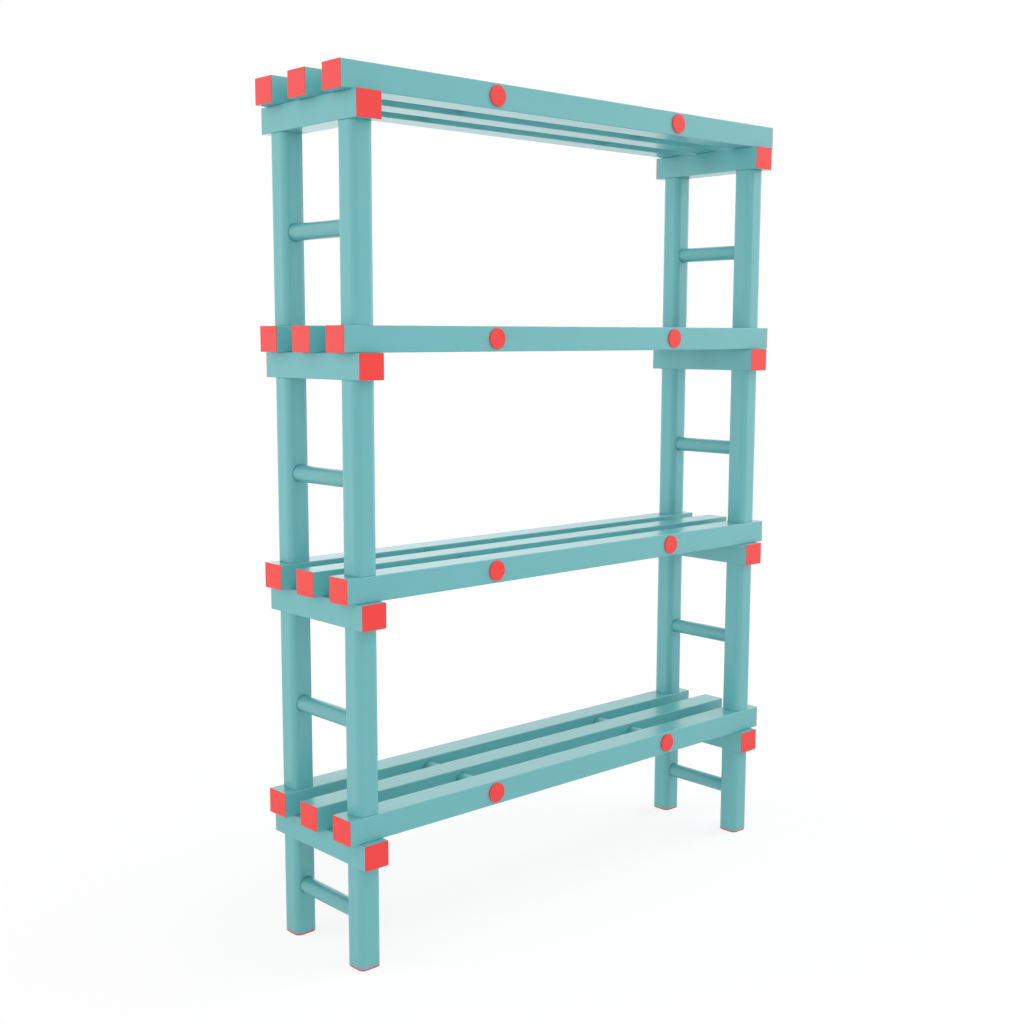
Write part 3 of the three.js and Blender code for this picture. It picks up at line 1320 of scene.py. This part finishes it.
@dataclass
class EndFrame(TierPart):
    """One end frame of a tier: two posts, the rung between them and the crossbar over them.

    Attributes:
        side: Left or right.
        is_base: True in the lowest tier, whose posts are open at the foot for their foot caps.
        is_top: True in the highest tier, whose spigots end inside the slats.
        post_wall: Wall of a post.
        post_radius: Radius of a post's corners.
        post_edge: Radius of the edge at a post's ends.
        post_steps: Steps to a corner and to a straight side of a post.
        top_plate: Thickness of a post's closed top.
        socket_depth: Depth of the socket in an upper post's foot.
        socket_chamfer: Chamfer of the socket's mouth.
        rung_diameter: Diameter of the rung.
        rung_wall: Wall of the rung.
        rung_clearance: Left free round the rung in its hole.
        rung_hole_steps: Steps along the post of the block worked round that hole.
        rung_hole_margin: Length of that block, as a share of the hole's.
    """

    side: str
    is_base: bool
    is_top: bool
    post_wall: float = 4 * MM
    post_radius: float = 12.5 * MM
    post_edge: float = 0.6 * MM
    post_steps: int = 8
    top_plate: float = 8 * MM
    socket_depth: float = 34 * MM
    socket_chamfer: float = 2 * MM
    rung_diameter: float = 32 * MM
    rung_wall: float = 3 * MM
    rung_clearance: float = 0.3 * MM
    rung_hole_steps: int = 16
    rung_hole_margin: float = 1.5

    def build(self) -> None:
        """Makes the frame's pieces."""
        for row in ("front", "rear"):
            self._post(row)
        self._rung()
        self._crossbar()
        log.info("%s: %s end frame", self.label, self.side)

    def _post(self, row: str) -> None:
        """Makes one post, with its spigot, and its socket where it has one.

        Args:
            row: Front or rear.
        """
        node = f"{self.label}_post_{row}_{self.side}"
        low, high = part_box(node)
        upper = "post_top" if self.is_top else "post_middle"
        kind = "post_base" if self.is_base else upper
        if kind not in self.shapes:
            self.shapes[kind] = self._post_mesh(kind, high.x - low.x, high.z - low.z)
        rear = row == "rear"
        put(f"{node}_tube", self.shapes[kind], Facing.UP, foot(node), teal(Grain.ALONG_Z), node, rear)

    def _post_mesh(self, name: str, width: float, height: float) -> bpy.types.Mesh:
        """A post about its own axis, from its foot to the tip of its spigot.

        Args:
            name: The mesh's name.
            width: Size of the tube each way.
            height: Height over all, with the spigot.

        Returns:
            The finished mesh.
        """
        ground = foot(f"{self.label}_post_front_{self.side}").z
        length = foot(f"{self.label}_crossbar_{self.side}").z - ground
        rung_place = middle(f"{self.label}_rung_{self.side}").z - ground
        steps = {"arc_steps": self.post_steps, "side_steps": self.post_steps}
        inner_width = width - 2 * self.post_wall
        outside = Outline(width, width, self.post_radius, **steps)
        inside = Outline(inner_width, inner_width, self.post_radius - self.post_wall, **steps)
        spread = self.post_steps // 2
        rung_hole = Hole(
            Side.TOP,
            rung_place,
            self.rung_diameter / 2 + self.rung_clearance,
            spread=spread,
            steps=self.rung_hole_steps,
            steps_across=self.post_steps + 2 * spread,
            margin=self.rung_hole_margin,
        )
        hollow = (0.0 if self.is_base else self.socket_depth, length - self.top_plate)
        skin = Skin()
        wall = TubeWall(outside, inside, (0.0, length), hollow, (rung_hole,), self.post_edge)
        outer, inner = wall.build(skin)
        skin.open_with(inner[-1], hollow[1])
        foot_loops = [] if self.is_base else self._socket_rows(outside)
        skin.bridge([inner[0], *stack(skin, foot_loops), outer[0]])
        peg = stack(skin, self._spigot_rows(outside, length, height))
        skin.bridge([outer[-1], *peg])
        skin.close_with(peg[-1], height)
        return skin.mesh(name)

    def _socket_rows(self, outside: Outline) -> list[tuple[Array, float]]:
        """Loops down the socket in a post's foot, from the hollow above to its chamfered mouth.

        Args:
            outside: The post's section, whose circles face it.

        Returns:
            Each loop and its place along the post.
        """
        bore = self.spigot.hole_radius
        return [
            (outside.circle(bore), self.socket_depth),
            (outside.circle(bore), self.socket_chamfer),
            (outside.circle(bore + self.socket_chamfer), 0.0),
        ]

    def _spigot_rows(self, outside: Outline, root: float, tip: float) -> list[tuple[Array, float]]:
        """Loops up a spigot, from the fillet at its root to its chamfered tip.

        Args:
            outside: The post's section, whose circles face it.
            root: Where the spigot starts along the post.
            tip: Where it ends.

        Returns:
            Each loop and its place along the post.
        """
        radius = self.spigot.diameter / 2
        inset, rise = quarter_round(self.spigot.root)
        lead = self.spigot.lead_in
        fillet = [(outside.circle(radius + r), root + i) for r, i in zip(rise[::-1], inset[::-1])]
        return [*fillet, (outside.circle(radius), tip - lead), (outside.circle(radius - lead), tip)]

    def _rung(self) -> None:
        """Makes the rung, an open tube."""
        node = f"{self.label}_rung_{self.side}"
        low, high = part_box(node)
        if "rung" not in self.shapes:
            rung = RoundTube(high.y - low.y, self.rung_diameter, self.rung_wall)
            self.shapes["rung"] = rung.mesh("rung")
        # The rung takes the darker teal, which is painted shade.
        put(f"{node}_tube", self.shapes["rung"], Facing.REAR, middle(node), RUNG_PAINTED_SHADE, node)

    def _crossbar(self) -> None:
        """Makes the crossbar: its tube and two end caps."""
        node = f"{self.label}_crossbar_{self.side}"
        low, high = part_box(node)
        width, length, height = high - low
        rows = [middle(f"{self.label}_post_{row}_{self.side}").y for row in ("front", "rear")]
        radius = self.spigot.hole_radius
        holes = tuple(Hole(side, y, radius) for y in rows for side in (Side.TOP, Side.BOTTOM))
        bar = Bar(length, width, height, holes)
        self.put_bar(node, "crossbar", bar, {"rear": Facing.REAR, "front": Facing.FRONT}, Grain.ALONG_Y)


@dataclass
class Feet:
    """The four foot caps under the lowest posts.

    Attributes:
        wall: Wall of the posts.
        radius: Radius of the posts' corners.
        pad: Thickness of the pad that the post stands on.
        pad_edge: Radius of the edge round the pad's underside.
        skirt_wall: Wall of the skirt inside the post.
    """

    wall: float = EndFrame.post_wall
    radius: float = EndFrame.post_radius
    pad: float = 3 * MM
    pad_edge: float = 0.7 * MM
    skirt_wall: float = 3 * MM

    def build(self) -> None:
        """Makes the foot caps."""
        low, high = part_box("foot_cap_front_left")
        width = high.x - low.x
        cap = Plug(
            width,
            width,
            self.radius,
            self.wall,
            self.radius - self.wall,
            plate=self.pad,
            edge=self.pad_edge,
            skirt_wall=self.skirt_wall,
        )
        shape = cap.mesh("foot_cap")
        for row in ("front", "rear"):
            for side in ("left", "right"):
                node = f"foot_cap_{row}_{side}"
                put(f"{node}_plug", shape, Facing.DOWN, foot(node), RED, node)
        log.info("four foot caps")


# The studio


@dataclass(frozen=True)
class Viewpoint:
    """The camera, as the photograph has it.

    Attributes:
        position: Where it stands.
        yaw: Its turn from straight back towards the right, in degrees.
        pitch: Its tilt upwards, in degrees.
        focal_pixels: Focal length in pixels of the photograph.
        axis_pixels: Where its axis meets the photograph, from the top left.
        image_pixels: Size of the photograph each way.
        sensor_width: Width of its sensor in millimetres, which only sets the scale of its lens.
    """

    position: tuple[float, float, float] = (-2.0331, -2.0992, 1.1703)
    yaw: float = 41.627
    pitch: float = -7.725
    focal_pixels: float = 1386.84
    axis_pixels: tuple[float, float] = (479.81, 525.27)
    image_pixels: int = 1024
    sensor_width: float = 36.0

    def build(self) -> None:
        """Makes the scene's camera."""
        data = bpy.data.cameras.new("camera")
        data.sensor_width = self.sensor_width
        data.lens = self.focal_pixels / self.image_pixels * self.sensor_width
        data.shift_x = 0.5 - self.axis_pixels[0] / self.image_pixels
        data.shift_y = self.axis_pixels[1] / self.image_pixels - 0.5
        camera = bpy.data.objects.new("camera", data)
        camera.location = self.position
        camera.rotation_euler = (QUARTER + math.radians(self.pitch), 0.0, -math.radians(self.yaw))
        bpy.context.scene.collection.objects.link(camera)
        bpy.context.scene.camera = camera


@dataclass(frozen=True)
class Glow:
    """A soft patch of light in the surroundings, such as a wide softbox.

    Attributes:
        azimuth: Where its middle lies, from the unit's right towards its rear, in degrees.
        height: How far its middle lies above the floor's horizon, in degrees.
        strength: Its strength in the middle, where 1 is white.
    """

    azimuth: float
    height: float
    strength: float

    def aim(self) -> tuple[float, float, float]:
        """The direction of its middle."""
        turn, lift = math.radians(self.azimuth), math.radians(self.height)
        return math.cos(turn) * math.cos(lift), math.sin(turn) * math.cos(lift), math.sin(lift)


@dataclass(frozen=True)
class Studio:
    """A white studio with soft lamps beside and behind the unit.

    Attributes:
        room: Where the walls light the unit. Whatever shines sees them as even white.
        lamps: Soft lamps before the walls, which shine on the unit and in its gloss.
        falloff: Power of the cosine by which a patch fades from its middle.
        floor_half: Half of the floor's side.
        floor_light: Colour of the floor for the light that it throws back at the unit.
        floor_lit: Colour of the floor's lit surface as it is seen, which holds the shadow.
        floor_plain: Plain white added to it, so that the unshaded floor is white.
    """

    room: tuple[Glow, ...] = (
        Glow(101.6, 0.0, 1.22),
        Glow(131.6, 0.0, 1.89),
        Glow(191.6, 0.0, 0.2),
        Glow(221.6, 0.0, 2.19),
        Glow(251.6, 0.0, 0.56),
        Glow(161.6, 38.0, 1.57),
        Glow(221.6, 38.0, 0.16),
        Glow(281.6, 38.0, 1.24),
        Glow(341.6, 38.0, 0.16),
        Glow(0.0, 90.0, 1.16),
    )
    lamps: tuple[Glow, ...] = (
        Glow(71.6, 0.0, 1.36),
        Glow(48.0, 20.0, 0.19),
        Glow(131.6, 0.0, 0.14),
        Glow(341.6, 0.0, 0.95),
        Glow(341.6, 38.0, 2.42),
    )
    falloff: float = 10.0
    floor_half: float = 3.4
    floor_light: float = 0.88
    floor_lit: float = 0.2
    floor_plain: float = 0.82

    def build(self) -> None:
        """Makes floor and surroundings, and sets the plain view transform."""
        bpy.context.scene.view_settings.view_transform = "Standard"
        self._floor()
        self._surroundings()

    @staticmethod
    def _rays(shader: Shader, *kinds: str) -> Wire:
        """1 for rays of the given kinds and 0 for others.

        Args:
            shader: The tree that asks.
            kinds: Names of the kinds, as Light Path has them.

        Returns:
            A mask of those rays.
        """
        path = shader.node("ShaderNodeLightPath").socket.node
        first, *others = (Wire(shader, path.outputs[f"Is {kind} Ray"]) for kind in kinds)
        for other in others:
            first = first | other
        return first

    def _floor(self) -> None:
        """A flat floor that keeps the unit's shadow.

        The camera and whatever shines see it white, less a part of what the unit shades. From
        below it lets the view of the unit's underside through.
        """
        half = self.floor_half
        corners = np.array([[-1, -1, 0], [1, -1, 0], [1, 1, 0], [-1, 1, 0]]) * half
        mesh = bpy.data.meshes.new("floor")
        mesh.from_pydata(corners, [], [(0, 1, 2, 3)])
        material = bpy.data.materials.new("floor_white")
        material.use_nodes = True
        shader = Shader(material.node_tree)
        shown = self._rays(shader, "Camera", "Glossy", "Transmission")
        shade = shown * (self.floor_lit - self.floor_light) + self.floor_light
        lit = shader.node("ShaderNodeBsdfDiffuse", sockets={"Color": shade})
        plain = {"Color": WHITE, "Strength": shown * self.floor_plain}
        white = shader.node("ShaderNodeEmission", sockets=plain)
        top = shader.node("ShaderNodeAddShader", sockets={0: lit, 1: white})
        back = shader.node("ShaderNodeNewGeometry", output="Backfacing")
        clear = shader.node("ShaderNodeBsdfTransparent")
        sheet = shader.node("ShaderNodeMixShader", sockets={0: back, 1: top, 2: clear})
        shader.node("ShaderNodeOutputMaterial", sockets={"Surface": sheet})
        mesh.materials.append(material)
        floor = bpy.data.objects.new("floor", mesh)
        bpy.context.scene.collection.objects.link(floor)
        floor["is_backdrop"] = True

    def _glow(self, shader: Shader, direction: Wire, glows: tuple[Glow, ...]) -> Wire:
        """The sum of some glows, each its strength times a power of the cosine from its middle.

        Args:
            shader: The tree that asks.
            direction: Where a ray goes.
            glows: The patches of light.

        Returns:
            How bright they are that way.
        """
        light: Wire | float = 0.0
        for glow in glows:
            cosine = shader.node(
                "ShaderNodeVectorMath",
                {"operation": "DOT_PRODUCT"},
                {0: direction, 1: glow.aim()},
                "Value",
            )
            light = glow.strength * (cosine | 0.0) ** self.falloff + light
        return light

    def _surroundings(self) -> None:
        """Even white for the camera and the gloss, the room's own light for the rest, and the lamps.

        The lamps are left out where the camera looks, so that the background stays plain. The
        strength is white where the ray is of a white kind and the room's light elsewhere, which is
        white * (1 - room) + room, and the lamps come on top of that.
        """
        world = bpy.data.worlds.new("studio")
        world.use_nodes = True
        shader = Shader(world.node_tree)
        direction = shader.node("ShaderNodeTexCoord", output="Generated")
        white = self._rays(shader, "Camera", "Glossy", "Transmission")
        plain = self._rays(shader, "Camera", "Transmission")
        room = self._glow(shader, direction, self.room)
        lamps = self._glow(shader, direction, self.lamps)
        strength = white * (1 - room) + room + (1 - plain) * lamps
        shine = {"Color": WHITE, "Strength": strength}
        walls = shader.node("ShaderNodeBackground", sockets=shine)
        shader.node("ShaderNodeOutputWorld", sockets={"Surface": walls})
        bpy.context.scene.world = world


def write_sizes() -> None:
    """Gathers the CAD box and the visual model's box as plain lists of numbers; nothing is written."""
    boxes = {"cad": CAD_BOX, "visual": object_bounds()}
    {name: [list(corner) for corner in box] for name, box in boxes.items()}


def main() -> None:
    """Makes the studio and the unit, tier by tier."""
    logging.basicConfig(level=logging.INFO, format="%(message)s")
    Viewpoint().build()
    Studio().build()
    Feet().build()
    for tier in TIERS:
        is_top = tier == TIERS[-1]
        for side in ("left", "right"):
            EndFrame(tier, side, is_base=tier == TIERS[0], is_top=is_top).build()
        Deck(tier, carries_tier=not is_top).build()
    write_sizes()


if __name__ == "__main__":
    main()
